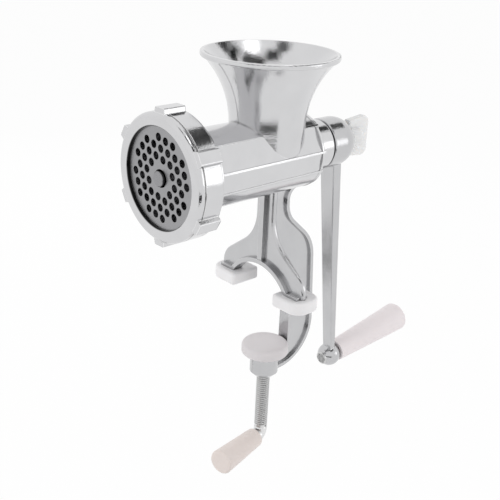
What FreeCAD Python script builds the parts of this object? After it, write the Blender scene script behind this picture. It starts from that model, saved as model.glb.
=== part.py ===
import FreeCAD, Part
import math
import os

from FreeCAD import Vector

# Hand crank meat grinder that clamps to the edge of a table, in millimetres.
# The origin is where the axis of the clamp screw meets the table top, under the feet.
# +Z is up, -Y is the front with the cutting plate, +Y is the rear with the crank.

# Clearances
running_fit = 0.05
bonded_fit = 0.02
thread_fit = 0.08
face_clearance = 0.1
seat_clearance = 0.3
shortest_edge = 0.001

# Barrel
axis_height = 88.5
hopper_y = -8.3
barrel_radius = 23.0
barrel_wall = 3.4
barrel_reach = 27.0
barrel_rear_wall = 6.0
bead_height = 0.5
bead_width = 1.4
bead_angles = (50.0, 8.0, -22.6)
rear_ring_width = 2.4
rear_ring_inset = 0.3
rear_ring_round = 1.6

# Front of the barrel, from the ring nut back
front_reach = 77.4
neck_radius = 33.0
neck_thread_depth = 0.5
neck_length = 15.0
neck_taper = 8.0
plate_seat_depth = 3.0
cavity_margin = 0.8
cavity_taper = 7.0

# Hopper
throat_radius = 22.0
hopper_wall = 2.8
flare_start = 18.0
hopper_height = 59.7
rim_radius = 39.3
rim_height = 2.9
rim_width = 2.0
rim_overhang = 0.7
rim_round = 0.9

# Rear bearing boss
boss_radius = 15.4
boss_length = 16.1
boss_round = 1.5
bush_wall = 2.2

# Leg: a bell-shaped plate across, a web along, and the arm of the clamp
leg_y = -6.8
leg_thickness = 4.2
leg_round = 1.8
leg_neck_width = 14.4
leg_bell_radius = 26.0
leg_bell_height = 38.5
leg_shoulder_height = 17.0
leg_shoulder_radius = 13.0
foot_span = 72.0
arch_radius = 27.0
arch_rise = 20.2
flange_depth = 2.9
flange_thickness = 2.6
rib_width = 3.8
rib_depth = 2.4
web_width = 8.4
web_thickness = 4.8
web_rim = 2.1
waist_y = 10.1
waist_drop = 39.2
waist_radius = 16.0
web_top_drop = 24.0
web_top_radius = 7.0
shoulder_y = 33.8
shoulder_height = 27.9
shoulder_radius = 28.0
heel_y = 39.2
heel_radius = 28.0
arm_bottom = -57.1
jaw_depth = 15.9
jaw_drop = 43.8
jaw_inner_radius = 2.0
jaw_top_height = 17.5
jaw_top_radius = 15.0
clamp_boss_radius = 9.1
clamp_boss_height = 16.0
clamp_boss_chamfer = 3.0

# Foot pads and the tenons that hold them
pad_length = 21.5
pad_width = 22.6
pad_height = 8.0
pad_floor = 3.0
pad_outer_corner = 8.5
pad_inner_corner = 2.4
pad_round = 1.6
pad_centre_y = -3.2
pad_overhang = 3.7
tenon_width = 10.0
tenon_depth = 9.0

# Cutting plate
plate_radius = 31.0
plate_thickness = 4.5
plate_centre_hole = 5.0
plate_hole_radius = 2.25
plate_hole_pitch = 6.15
plate_first_ring = 2
plate_last_ring = 4
plate_turn = -11.2
hexagon_sides = 6
key_pin_radius = 1.4
key_pin_length = 6.0
key_pin_inset = 1.5

# Knife
knife_thickness = 5.0
knife_radius = 27.0
knife_hub_radius = 9.0
knife_arms = 4
knife_root_width = 9.0
knife_tip_width = 6.0
knife_bevel = 3.0
knife_square = 9.0

# Auger, its stub at the front and its tail at the rear
auger_core_radius = 7.6
auger_tip_gap = 0.6
auger_pitch = 25.0
auger_flight_thickness = 4.0
auger_collar_radius = 13.0
auger_collar_length = 5.0
shank_radius = 8.0
tail_square = 11.0
tail_length = 12.0
stub_radius = 3.5
stub_root_radius = 5.0
stub_root_depth = 14.0
stub_proud = 0.6
washer_thickness = 2.0

# Ring nut
ring_radius = 35.4
ring_depth = 16.0
ring_lip = 2.0
ring_opening = 28.0
ring_front_round = 2.4
ring_lip_round = 1.0
ring_groove_offset = 3.4
ring_groove_width = 0.8
ring_groove_depth = 0.5
lug_count = 6
lug_width = 9.0
lug_top_width = 7.4
lug_height = 2.7
lug_setback = 1.2
lug_corner = 0.7

# Crank
hub_gap = 0.8
hub_radius = 15.4
hub_cylinder = 8.1
hub_dome_offset = 2.2
hub_seat_radius = 8.0
hub_edge_round = 1.0
arm_tilt = 6.2
arm_length = 156.5
arm_top_width = 12.6
arm_top_thickness = 7.2
arm_end_width = 8.0
arm_end_thickness = 4.0
arm_edge_round = 1.0
ball_radius = 7.8
ball_flat = 6.6
ball_seat = 5.6
ball_offset = 2.0
pin_radius = 3.0
pin_head_radius = 4.4
pin_head_height = 1.2
pin_tail_radius = 4.6
pin_tail_height = 2.0
grip_washer_radius = 5.2
grip_washer_thickness = 0.6
grip_length = 66.6
grip_small_radius = 7.3
grip_large_radius = 10.2
grip_dome = 1.6
grip_small_round = 0.6
grip_pocket_depth = 6.0
grip_pocket_margin = 0.8

# Wing screw
stud_radius = 4.0
stud_engagement = 10.0
stud_anchor = 9.0
wing_washer_radius = 7.6
wing_washer_thickness = 1.2
wing_hub_radius = 7.0
wing_hub_length = 11.0
wing_hub_round = 3.5
wing_reach = 18.6
wing_root_width = 23.0
wing_tip_width = 27.0
wing_thickness = 5.0
wing_corner = 5.0
wing_edge_round = 1.2

# Clamp screw
screw_radius = 4.3
screw_tip_radius = 3.0
screw_head_radius = 4.8
screw_head_height = 1.0
screw_drop = 54.0
screw_bend_radius = 4.6
screw_turn = 11.4
handle_start = 6.0
handle_length = 37.0
handle_small_radius = 6.3
handle_large_radius = 8.1
handle_end_round = 1.6
handle_small_round = 0.8
handle_hole_depth = 28.0
cap_radius = 15.0
cap_height = 7.0
cap_top = 2.4
cap_round = 2.6
disc_radius = 12.4
disc_thickness = 2.4

# Places that follow from the sizes above
front_y = hopper_y - front_reach
plate_front_y = front_y + ring_lip
plate_rear_y = plate_front_y + plate_thickness
knife_front_y = plate_rear_y + face_clearance
knife_rear_y = knife_front_y + knife_thickness
neck_front_y = plate_rear_y - plate_seat_depth
neck_rear_y = neck_front_y + neck_length
cavity_rear_y = knife_rear_y + cavity_margin
barrel_rear_y = hopper_y + barrel_reach
bore_rear_y = barrel_rear_y - barrel_rear_wall
boss_rear_y = barrel_rear_y + boss_length
hub_front_y = boss_rear_y + hub_gap
arm_front_y = hub_front_y + hub_cylinder
dome_y = arm_front_y + hub_dome_offset
hub_seat_y = dome_y + math.sqrt(hub_radius ** 2 - hub_seat_radius ** 2)
tail_rear_y = hub_front_y + tail_length
wing_seat_y = hub_seat_y + face_clearance
wing_base_y = wing_seat_y + wing_washer_thickness
bore_radius = barrel_radius - barrel_wall
plate_bore_radius = plate_radius + running_fit
cavity_radius = knife_radius + cavity_margin
key_pin_orbit = plate_radius - key_pin_inset
bush_bore_radius = shank_radius + running_fit
bush_radius = bush_bore_radius + bush_wall
neck_root_radius = neck_radius - neck_thread_depth
ring_bore_radius = neck_radius + thread_fit
jaw_floor = -jaw_drop
clamp_bottom = jaw_floor - clamp_boss_height
screw_level = clamp_bottom - screw_drop + handle_large_radius
cap_bottom = jaw_floor + seat_clearance
cap_top_z = cap_bottom + cap_height
disc_top = cap_top_z - cap_top
disc_bottom = disc_top - disc_thickness
arch_height = arch_rise - arch_radius
foot_outer = foot_span / 2
pad_outer = foot_outer + pad_overhang
barrel_axis = Vector(0, 0, axis_height)
forward = Vector(0, 1, 0)
upward = Vector(0, 0, 1)


def rounded_wire(corners, place):
    """A closed wire through (u, v, radius) corners, with a tangent arc at each rounded one."""
    runs = []
    count = len(corners)
    for index in range(count):
        u, v, radius = corners[index]
        corner = Vector(u, v, 0)
        before = corners[index - 1]
        after = corners[(index + 1) % count]
        back = (Vector(before[0], before[1], 0) - corner).normalize()
        ahead = (Vector(after[0], after[1], 0) - corner).normalize()
        half_angle = back.getAngle(ahead) / 2
        reach = radius / math.tan(half_angle)
        middle = corner + (back + ahead).normalize() * (radius / math.sin(half_angle) - radius)
        runs.append((corner + back * reach, middle, corner + ahead * reach, radius))
    edges = []
    for index in range(count):
        start, middle, end, radius = runs[index]
        last_end = runs[index - 1][2]
        if last_end.distanceToPoint(start) > shortest_edge:
            line = Part.LineSegment(place(last_end.x, last_end.y), place(start.x, start.y))
            edges.append(line.toShape())
        if radius > 0:
            points = [place(point.x, point.y) for point in (start, middle, end)]
            edges.append(Part.Arc(*points).toShape())
    return Part.Wire(edges)


def on_barrel(radius, y):
    """The point at this radius and place along the barrel, in the plane of symmetry."""
    return Vector(0, y, axis_height + radius)


def turned_on_barrel(corners):
    """A solid turned about the barrel's axis from (radius, y, round) corners."""
    face = Part.Face(rounded_wire(corners, on_barrel))
    return face.revolve(barrel_axis, forward, 360)


def turned_upright(corners, y=0.0):
    """A solid turned about an upright axis from (radius, z, round) corners."""
    face = Part.Face(rounded_wire(corners, lambda radius, z: Vector(radius, y, z)))
    return face.revolve(Vector(0, y, 0), upward, 360)


def barrel_cylinder(radius, y_start, y_end):
    return Part.makeCylinder(radius, y_end - y_start, Vector(0, y_start, axis_height), forward)


def barrel_square(side, y_start, y_end):
    corner = Vector(-side / 2, y_start, axis_height - side / 2)
    return Part.makeBox(side, y_end - y_start, side, corner)


def centred_box(width_x, y_start, y_end, z_start, z_end):
    corner = Vector(-width_x / 2, y_start, z_start)
    return Part.makeBox(width_x, y_end - y_start, z_end - z_start, corner)


def upright_cylinder(radius, z_start, z_end):
    return Part.makeCylinder(radius, z_end - z_start, Vector(0, 0, z_start))


def mirrored(shape):
    return shape.mirror(Vector(0, 0, 0), Vector(1, 0, 0))


def spun(shape, angle):
    """The shape turned about the barrel's axis."""
    return shape.rotated(barrel_axis, forward, angle)


def on_crank(shape):
    """Lean a piece of the crank outwards, about the point where the arm leaves the hub."""
    return shape.rotated(Vector(0, arm_front_y, axis_height), Vector(1, 0, 0), arm_tilt)


def turned_on_pin(corners):
    """A solid turned about the handle pin from (radius, distance from the ball, round) corners."""
    start = Vector(0, arm_front_y + ball_offset, axis_height - arm_length)
    face = Part.Face(rounded_wire(corners, lambda radius, y: start + Vector(0, y, radius)))
    return on_crank(face.revolve(start, forward, 360))


def on_section(radius, angle):
    """The point at this radius and angle from level, in the barrel's section."""
    turn = math.radians(angle)
    return Vector(radius * math.cos(turn), 0, axis_height + radius * math.sin(turn))


def barrel_section():
    """Section of the barrel: a round top and bottom, with flats between the beads."""
    flat_radius = barrel_radius - bead_height
    side = [on_section(flat_radius, angle) for angle in bead_angles]
    other = [Vector(-point.x, point.y, point.z) for point in reversed(side)]
    edges = [Part.LineSegment(first, second).toShape() for first, second in zip(side, side[1:])]
    edges.append(Part.Arc(side[-1], on_section(flat_radius, -90), other[0]).toShape())
    edges += [Part.LineSegment(first, second).toShape() for first, second in zip(other, other[1:])]
    edges.append(Part.Arc(other[-1], on_section(flat_radius, 90), side[0]).toShape())
    return Part.Face(Part.Wire(edges))


def barrel_beads():
    """Raised beads along the barrel, on the corners between its flats."""
    beads = []
    for angle in bead_angles:
        root = barrel_radius - barrel_wall / 2
        corner = Vector(root, neck_rear_y, axis_height - bead_width / 2)
        bead = Part.makeBox(barrel_radius - root, barrel_rear_y - neck_rear_y, bead_width, corner)
        bead = spun(bead, -angle)
        beads += [bead, mirrored(bead)]
    return beads


def flare(start_radius, start_z, end_radius, end_z):
    """The hopper's flare: an arc that leaves the upright throat and leans out to the rim."""
    spread = end_radius - start_radius
    rise = end_z - start_z
    radius = (spread ** 2 + rise ** 2) / (2 * spread)
    half_turn = math.asin(rise / radius) / 2
    middle_radius = start_radius + radius * (1 - math.cos(half_turn))
    middle_z = start_z + radius * math.sin(half_turn)
    points = ((start_radius, start_z), (middle_radius, middle_z), (end_radius, end_z))
    return Part.Arc(*[Vector(r, hopper_y, axis_height + z) for r, z in points]).toShape()


def hopper_turn(throat, z_bottom, end_radius, z_end):
    """A solid hopper, from below the throat up to the given height."""
    def spot(radius, z):
        return Vector(radius, hopper_y, axis_height + z)

    edges = [
        Part.LineSegment(spot(0, z_bottom), spot(throat, z_bottom)).toShape(),
        Part.LineSegment(spot(throat, z_bottom), spot(throat, flare_start)).toShape(),
        flare(throat, flare_start, end_radius, z_end),
        Part.LineSegment(spot(end_radius, z_end), spot(0, z_end)).toShape(),
        Part.LineSegment(spot(0, z_end), spot(0, z_bottom)).toShape(),
    ]
    return Part.Face(Part.Wire(edges)).revolve(Vector(0, hopper_y, 0), upward, 360)


def hopper_outside():
    lip_base = hopper_height - rim_height
    throat_foot = (barrel_radius - bead_height) * math.sin(math.radians(bead_angles[1]))
    bell = hopper_turn(throat_radius, throat_foot, rim_radius - rim_overhang, lip_base + rim_round)
    rim_corners = [
        (0, axis_height + lip_base, 0),
        (rim_radius, axis_height + lip_base, rim_round),
        (rim_radius, axis_height + hopper_height, rim_round),
        (0, axis_height + hopper_height, 0),
    ]
    return bell.fuse(turned_upright(rim_corners, hopper_y))


def hopper_inside():
    inner_throat = throat_radius - hopper_wall
    return hopper_turn(min(inner_throat, bore_radius), 0, rim_radius - rim_width, hopper_height)


def bell_outline(z_bottom):
    """Bell outline of the leg across: a narrow neck that spreads to the two feet."""
    half_neck = leg_neck_width / 2
    top = axis_height - barrel_radius / 2
    right = [
        (half_neck, top, 0),
        (half_neck, leg_bell_height, leg_bell_radius),
        (foot_outer, leg_shoulder_height, leg_shoulder_radius),
        (foot_outer, z_bottom, 0),
    ]
    left = [(-x, z, radius) for x, z, radius in reversed(right)]
    return right + left


def bell_plate(y_start, y_end):
    wire = rounded_wire(bell_outline(pad_height), lambda x, z: Vector(x, y_start, z))
    return Part.Face(wire).extrude(Vector(0, y_end - y_start, 0))


def arch_cylinder(radius, y_start, y_end):
    return Part.makeCylinder(radius, y_end - y_start, Vector(0, y_start, arch_height), forward)


def leg_across():
    front = leg_y
    rear = leg_y + leg_thickness
    flange_front = front - flange_depth
    plate = bell_plate(front, rear)
    flat_edges = [edge for edge in plate.Edges if edge.BoundBox.YLength < leg_round]
    outline = [
        edge for edge in flat_edges
        if edge.BoundBox.ZMax > pad_height + leg_round and edge.BoundBox.ZMin < axis_height - barrel_radius
    ]
    plate = plate.makeFillet(leg_round, outline)
    flange_ring = arch_cylinder(arch_radius + flange_thickness, flange_front, rear)
    flange = bell_plate(flange_front, rear).common(flange_ring)
    rib = centred_box(rib_width, front - rib_depth, rear, arch_rise, axis_height - barrel_radius / 2)
    leg = plate.fuse([flange, rib])
    return leg.cut(arch_cylinder(arch_radius, flange_front, rear))


def web_outline():
    return [
        (leg_y + leg_thickness / 2, axis_height - barrel_radius / 2, 0),
        (barrel_rear_y - rear_ring_width, axis_height - barrel_radius / 2, 0),
        (barrel_rear_y - rear_ring_width, axis_height - barrel_radius + bead_height, 0),
        (waist_y, axis_height - web_top_drop, web_top_radius),
        (waist_y, axis_height - waist_drop, waist_radius),
        (shoulder_y, shoulder_height, shoulder_radius),
        (heel_y, arm_bottom, heel_radius),
        (0, arm_bottom, 0),
        (0, jaw_floor, 0),
        (jaw_depth, jaw_floor, jaw_inner_radius),
        (jaw_depth, jaw_top_height, jaw_top_radius),
        (leg_y + leg_thickness / 2, jaw_top_height, 0),
    ]


def leg_along():
    """The web behind the leg and the arm of the clamp, with a thick rim round a thinner panel."""
    half_width = web_width / 2
    wire = rounded_wire(web_outline(), lambda y, z: Vector(-half_width, y, z))
    web = Part.Face(wire).extrude(Vector(web_width, 0, 0))
    pocket_depth = (web_width - web_thickness) / 2
    pocket_wire = wire.makeOffset2D(-web_rim)
    pocket = Part.Face(pocket_wire).extrude(Vector(pocket_depth, 0, 0))
    return web.cut([pocket, mirrored(pocket)])


def clamp_boss():
    corners = [
        (0, clamp_bottom, 0),
        (clamp_boss_radius - clamp_boss_chamfer, clamp_bottom, 0),
        (clamp_boss_radius, clamp_bottom + clamp_boss_chamfer, 0),
        (clamp_boss_radius, jaw_floor, 0),
        (0, jaw_floor, 0),
    ]
    return turned_upright(corners)


def foot_tenon(margin):
    """The block of a foot that fills its pad, larger by a margin to cut the pocket."""
    x_start = foot_outer - tenon_width - leg_round - margin
    y_start = leg_y - flange_depth - margin
    width = tenon_width + 2 * margin
    depth = tenon_depth + 2 * margin
    corner = Vector(x_start, y_start, pad_floor)
    return Part.makeBox(width, depth, pad_height - pad_floor + leg_round, corner)


def body_inside():
    """The space that holds the plate, the knife, the auger and the rear bush."""
    corners = [
        (0, neck_front_y - ring_lip, 0),
        (plate_bore_radius, neck_front_y - ring_lip, 0),
        (plate_bore_radius, plate_rear_y, 0),
        (cavity_radius, plate_rear_y, 0),
        (cavity_radius, cavity_rear_y, 0),
        (bore_radius, cavity_rear_y + cavity_taper, 0),
        (bore_radius, bore_rear_y, 0),
        (bush_radius + bonded_fit, bore_rear_y, 0),
        (bush_radius + bonded_fit, boss_rear_y + hub_gap, 0),
        (0, boss_rear_y + hub_gap, 0),
    ]
    return turned_on_barrel(corners)


def key_pin(radius, y_start, y_end):
    centre = Vector(0, y_start, axis_height - key_pin_orbit)
    return Part.makeCylinder(radius, y_end - y_start, centre, forward)


def make_grinder_body():
    section = barrel_section()
    section.translate(Vector(0, neck_rear_y, 0))
    barrel = section.extrude(Vector(0, barrel_rear_y - neck_rear_y, 0))
    neck = turned_on_barrel([
        (0, neck_front_y, 0),
        (neck_root_radius, neck_front_y, 0),
        (neck_root_radius, neck_rear_y, 0),
        (barrel_radius - bead_height, neck_rear_y + neck_taper, 0),
        (0, neck_rear_y + neck_taper, 0),
    ])
    rear_ring_radius = barrel_radius - rear_ring_inset
    rear_ring = turned_on_barrel([
        (0, barrel_rear_y - rear_ring_width, 0),
        (rear_ring_radius, barrel_rear_y - rear_ring_width, 0),
        (rear_ring_radius, barrel_rear_y, rear_ring_round),
        (0, barrel_rear_y, 0),
    ])
    boss = turned_on_barrel([
        (0, bore_rear_y, 0),
        (boss_radius, bore_rear_y, 0),
        (boss_radius, boss_rear_y, boss_round),
        (0, boss_rear_y, 0),
    ])
    tenons = [foot_tenon(0), mirrored(foot_tenon(0))]
    legs = [leg_across(), leg_along(), clamp_boss()]
    housing = [neck, rear_ring, boss, hopper_outside()] + barrel_beads()
    body = barrel.fuse(housing + legs + tenons)
    screw_hole = upright_cylinder(screw_radius + running_fit, clamp_bottom, jaw_floor)
    pin_hole = key_pin(key_pin_radius + bonded_fit, plate_rear_y, plate_rear_y + key_pin_length)
    return body.cut([body_inside(), hopper_inside(), screw_hole, pin_hole]).removeSplitter()


def make_plate_key_pin():
    pin_front = plate_rear_y - plate_seat_depth + face_clearance
    return key_pin(key_pin_radius, pin_front, plate_rear_y + key_pin_length - face_clearance)


def make_rear_bush():
    outside = barrel_cylinder(bush_radius, bore_rear_y, boss_rear_y)
    return outside.cut(barrel_cylinder(bush_bore_radius, bore_rear_y, boss_rear_y))


def make_thrust_washer():
    front = bore_rear_y - washer_thickness
    outside = barrel_cylinder(auger_collar_radius, front, bore_rear_y)
    return outside.cut(barrel_cylinder(bush_bore_radius, front, bore_rear_y))


def make_foot_pad():
    """The near pad; the other one is its mirror image."""
    half_length = pad_length / 2
    x_start = pad_outer - pad_width
    y_start = pad_centre_y - half_length
    y_end = pad_centre_y + half_length
    corners = [
        (x_start, y_start, pad_inner_corner),
        (pad_outer, y_start, pad_outer_corner),
        (pad_outer, y_end, pad_outer_corner),
        (x_start, y_end, pad_inner_corner),
    ]
    wire = rounded_wire(corners, lambda x, y: Vector(x, y, 0))
    pad = Part.Face(wire).extrude(Vector(0, 0, pad_height))
    rims = [edge for edge in pad.Edges if edge.BoundBox.ZLength < pad_round]
    pad = pad.makeFillet(pad_round, rims)
    return pad.cut(foot_tenon(bonded_fit))


def hex_ring(steps):
    """Lattice places on one hexagon of the cutting plate, and whether each is a corner."""
    places = []
    for side in range(hexagon_sides):
        corner_turn = 2 * math.pi / hexagon_sides * side
        next_turn = 2 * math.pi / hexagon_sides * (side + 1)
        start = Vector(math.cos(corner_turn), 0, math.sin(corner_turn)) * steps
        end = Vector(math.cos(next_turn), 0, math.sin(next_turn)) * steps
        for step in range(steps):
            places.append((start + (end - start) * (step / steps), step == 0))
    return places


def make_cutting_plate():
    plate = barrel_cylinder(plate_radius, plate_front_y, plate_rear_y)
    holes = [barrel_cylinder(plate_centre_hole, plate_front_y, plate_rear_y)]
    for ring in range(plate_first_ring, plate_last_ring + 1):
        for place, is_corner in hex_ring(ring):
            if is_corner and ring == plate_last_ring:
                continue
            hole = barrel_cylinder(plate_hole_radius, plate_front_y, plate_rear_y)
            hole.translate(place * plate_hole_pitch)
            holes.append(spun(hole, -plate_turn))
    slot_half = key_pin_radius + face_clearance
    slot_top = axis_height - key_pin_orbit
    slot_bottom = axis_height - plate_radius - slot_half
    holes.append(centred_box(2 * slot_half, plate_front_y, plate_rear_y, slot_bottom, slot_top))
    holes.append(key_pin(slot_half, plate_front_y, plate_rear_y))
    return plate.cut(holes)


def make_cutter_knife():
    """Four arms that sweep behind the plate, each with a sloping back."""
    hub = barrel_cylinder(knife_hub_radius, knife_front_y, knife_rear_y)
    root = knife_hub_radius / 2
    outline = [
        (root, -knife_root_width / 2, 0),
        (knife_radius, -knife_tip_width / 2, 0),
        (knife_radius, knife_tip_width / 2, 0),
        (root, knife_root_width / 2, 0),
    ]
    wire = rounded_wire(outline, lambda x, z: Vector(x, knife_front_y, axis_height + z))
    arm = Part.Face(wire).extrude(Vector(0, knife_thickness, 0))
    slope = [
        (knife_root_width / 2, knife_rear_y, 0),
        (knife_root_width / 2, knife_rear_y - knife_bevel, 0),
        (knife_tip_width / 2, knife_rear_y - knife_bevel, 0),
        (-knife_tip_width / 2, knife_rear_y, 0),
    ]
    slope_wire = rounded_wire(slope, lambda z, y: Vector(knife_hub_radius, y, axis_height + z))
    arm = arm.cut(Part.Face(slope_wire).extrude(Vector(knife_radius, 0, 0)))
    arms = [spun(arm, 360 / knife_arms * index) for index in range(knife_arms)]
    knife = hub.fuse(arms).common(barrel_cylinder(knife_radius, knife_front_y, knife_rear_y))
    socket = barrel_square(knife_square + 2 * bonded_fit, knife_front_y, knife_rear_y)
    return knife.cut(socket).removeSplitter()


def auger_flight(y_start, y_end):
    """One helical flight, swept along the core and trimmed square at both ends."""
    outer = bore_radius - auger_tip_gap
    root = auger_core_radius / 2
    height = y_end - y_start
    half = auger_flight_thickness / 2
    helix = Part.makeHelix(auger_pitch, height, outer)
    outline = [(root, -half, 0), (outer, -half, 0), (outer, half, 0), (root, half, 0)]
    profile = rounded_wire(outline, lambda x, z: Vector(x, 0, z))
    flight = Part.Wire(helix).makePipeShell([profile], True, True)
    flight.rotate(Vector(0, 0, 0), Vector(1, 0, 0), -90)
    flight.translate(Vector(0, y_start, axis_height))
    return flight


def make_auger():
    """A round core with its flight, then the collar, the bearing shank and the square tail."""
    front = knife_rear_y
    collar_rear = bore_rear_y - washer_thickness - face_clearance
    collar_front = collar_rear - auger_collar_length
    cone_front = collar_front - auger_collar_length
    cone_middle = collar_front - auger_collar_length / 2
    shank_rear = hub_front_y - face_clearance
    core = barrel_cylinder(auger_core_radius, front, collar_front)
    flight_start = cavity_rear_y + cavity_taper + auger_flight_thickness / 2
    flight = auger_flight(flight_start, cone_middle)
    rear = turned_on_barrel([
        (0, cone_front - auger_flight_thickness, 0),
        (auger_core_radius, cone_front - auger_flight_thickness, 0),
        (auger_core_radius, cone_front, 0),
        (auger_collar_radius, collar_front, 0),
        (auger_collar_radius, collar_rear, 0),
        (shank_radius, collar_rear, 0),
        (shank_radius, shank_rear, 0),
        (0, shank_rear, 0),
    ])
    tail = barrel_square(tail_square, shank_rear, tail_rear_y)
    stub_hole = barrel_cylinder(stub_root_radius + bonded_fit, front, front + stub_root_depth)
    stud_hole = barrel_cylinder(stud_radius + running_fit, tail_rear_y - 2 * stud_engagement, tail_rear_y)
    return core.fuse(flight).fuse(rear).fuse(tail).cut([stub_hole, stud_hole])


def make_auger_stub():
    root = barrel_cylinder(stub_root_radius, knife_rear_y, knife_rear_y + stub_root_depth - face_clearance)
    square = barrel_square(knife_square, knife_front_y, knife_rear_y)
    tip = barrel_cylinder(stub_radius, plate_front_y - stub_proud, knife_front_y)
    return root.fuse([square, tip])


def make_ring_nut():
    rear_y = front_y + ring_depth
    ring = turned_on_barrel([
        (ring_opening, front_y, ring_lip_round),
        (ring_radius, front_y, ring_front_round),
        (ring_radius, rear_y, ring_lip_round),
        (ring_bore_radius, rear_y, 0),
        (ring_bore_radius, plate_front_y, 0),
        (ring_opening, plate_front_y, 0),
    ])
    base = ring_radius - lug_height / 2
    top = ring_radius + lug_height
    lug_front = front_y + lug_setback
    outline = [
        (-lug_width / 2, base, 0),
        (-lug_top_width / 2, top, lug_corner),
        (lug_top_width / 2, top, lug_corner),
        (lug_width / 2, base, 0),
    ]
    wire = rounded_wire(outline, lambda x, z: Vector(x, lug_front, axis_height + z))
    lug = Part.Face(wire).extrude(Vector(0, rear_y - ring_lip_round - lug_front, 0))
    lugs = [spun(lug, 360 / lug_count * index) for index in range(lug_count)]
    groove_front = front_y + ring_groove_offset
    groove_rear = groove_front + ring_groove_width
    groove = barrel_cylinder(ring_radius, groove_front, groove_rear)
    groove = groove.cut(barrel_cylinder(ring_radius - ring_groove_depth, groove_front, groove_rear))
    return ring.cut(groove).fuse(lugs).removeSplitter()


def arm_section(width, thickness, z):
    corners = [
        (-width / 2, arm_front_y, arm_edge_round),
        (width / 2, arm_front_y, arm_edge_round),
        (width / 2, arm_front_y + thickness, arm_edge_round),
        (-width / 2, arm_front_y + thickness, arm_edge_round),
    ]
    return rounded_wire(corners, lambda x, y: Vector(x, y, z))


def make_crank_arm():
    cylinder = turned_on_barrel([
        (0, hub_front_y, 0),
        (hub_radius, hub_front_y, hub_edge_round),
        (hub_radius, dome_y, 0),
        (0, dome_y, 0),
    ])
    dome = Part.makeSphere(hub_radius, Vector(0, dome_y, axis_height))
    dome = dome.common(barrel_cylinder(hub_radius, dome_y, hub_seat_y))
    top = arm_section(arm_top_width, arm_top_thickness, axis_height)
    end = arm_section(arm_end_width, arm_end_thickness, axis_height - arm_length)
    bar = on_crank(Part.makeLoft([top, end], True, True))
    ball_centre = Vector(0, arm_front_y + ball_offset, axis_height - arm_length)
    flat_start = ball_centre - forward * ball_flat
    ball = Part.makeSphere(ball_radius, ball_centre)
    flats_apart = ball_flat + ball_seat
    ball = ball.common(Part.makeCylinder(ball_radius, flats_apart, flat_start, forward))
    pin_hole = Part.makeCylinder(pin_radius + bonded_fit, flats_apart, flat_start, forward)
    arm = cylinder.fuse([dome, bar, on_crank(ball)])
    socket = barrel_square(tail_square + 2 * running_fit, hub_front_y, tail_rear_y + seat_clearance)
    stud_hole = barrel_cylinder(stud_radius + seat_clearance, hub_front_y, hub_seat_y)
    return arm.cut([socket, stud_hole, on_crank(pin_hole)]).removeSplitter()


def grip_start():
    return ball_seat + grip_washer_thickness + face_clearance


def make_handle_pin():
    """Riveted over at the front of the ball; its tail is headed inside the end of the grip."""
    tail = grip_start() + grip_length - grip_pocket_depth + face_clearance
    return turned_on_pin([
        (0, -ball_flat - pin_head_height, 0),
        (pin_head_radius, -ball_flat - pin_head_height, pin_head_height / 2),
        (pin_head_radius, -ball_flat, 0),
        (pin_radius, -ball_flat, 0),
        (pin_radius, tail, 0),
        (pin_tail_radius, tail, 0),
        (pin_tail_radius, tail + pin_tail_height, pin_tail_height / 2),
        (0, tail + pin_tail_height, 0),
    ])


def make_grip_washer():
    return turned_on_pin([
        (pin_radius + bonded_fit, ball_seat, 0),
        (grip_washer_radius, ball_seat, 0),
        (grip_washer_radius, ball_seat + grip_washer_thickness, 0),
        (pin_radius + bonded_fit, ball_seat + grip_washer_thickness, 0),
    ])


def make_crank_grip():
    start = grip_start()
    end = start + grip_length
    pocket = pin_tail_radius + grip_pocket_margin
    return turned_on_pin([
        (pin_radius + running_fit, start, 0),
        (grip_small_radius, start, grip_small_round),
        (grip_large_radius, end - grip_dome, grip_dome),
        (pocket + grip_dome, end, grip_dome),
        (pocket, end, 0),
        (pocket, end - grip_pocket_depth, 0),
        (pin_radius + running_fit, end - grip_pocket_depth, 0),
    ])


def make_wing_washer():
    outside = barrel_cylinder(wing_washer_radius, wing_seat_y, wing_base_y)
    return outside.cut(barrel_cylinder(stud_radius + running_fit, wing_seat_y, wing_base_y))


def make_wing_stud():
    return barrel_cylinder(stud_radius, tail_rear_y - stud_engagement, wing_base_y + stud_anchor)


def make_wing_knob():
    """A round hub with one broad flat blade."""
    tip_y = wing_base_y + wing_reach
    hub = turned_on_barrel([
        (0, wing_base_y, 0),
        (wing_hub_radius, wing_base_y, 0),
        (wing_hub_radius, wing_base_y + wing_hub_length, wing_hub_round),
        (0, wing_base_y + wing_hub_length, 0),
    ])
    half_root = wing_root_width / 2
    half_tip = wing_tip_width / 2
    outline = [
        (-half_root, wing_base_y + face_clearance, 0),
        (half_root, wing_base_y + face_clearance, 0),
        (half_tip, tip_y, wing_corner),
        (-half_tip, tip_y, wing_corner),
    ]
    wire = rounded_wire(outline, lambda z, y: Vector(-wing_thickness / 2, y, axis_height + z))
    blade = Part.Face(wire).extrude(Vector(wing_thickness, 0, 0))
    sides = [edge for edge in blade.Edges if edge.BoundBox.XLength < running_fit]
    blade = blade.makeFillet(wing_edge_round, sides)
    hole = barrel_cylinder(stud_radius + bonded_fit, wing_base_y, wing_base_y + stud_anchor)
    return hub.fuse(blade).cut(hole).removeSplitter()


def screw_rod():
    """The rod of the clamp: upright, then bent to lead out level into its grip."""
    bend_start = screw_level + screw_bend_radius
    upright = upright_cylinder(screw_radius, bend_start, disc_bottom - face_clearance)
    section = Part.Face(Part.Wire(Part.makeCircle(screw_radius, Vector(0, 0, bend_start))))
    bend = section.revolve(Vector(0, -screw_bend_radius, bend_start), Vector(1, 0, 0), -90)
    out_length = handle_start - screw_bend_radius + handle_hole_depth - face_clearance
    out = Part.makeCylinder(screw_radius, out_length, Vector(0, -screw_bend_radius, screw_level), -forward)
    return upright.fuse([bend, out])


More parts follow.
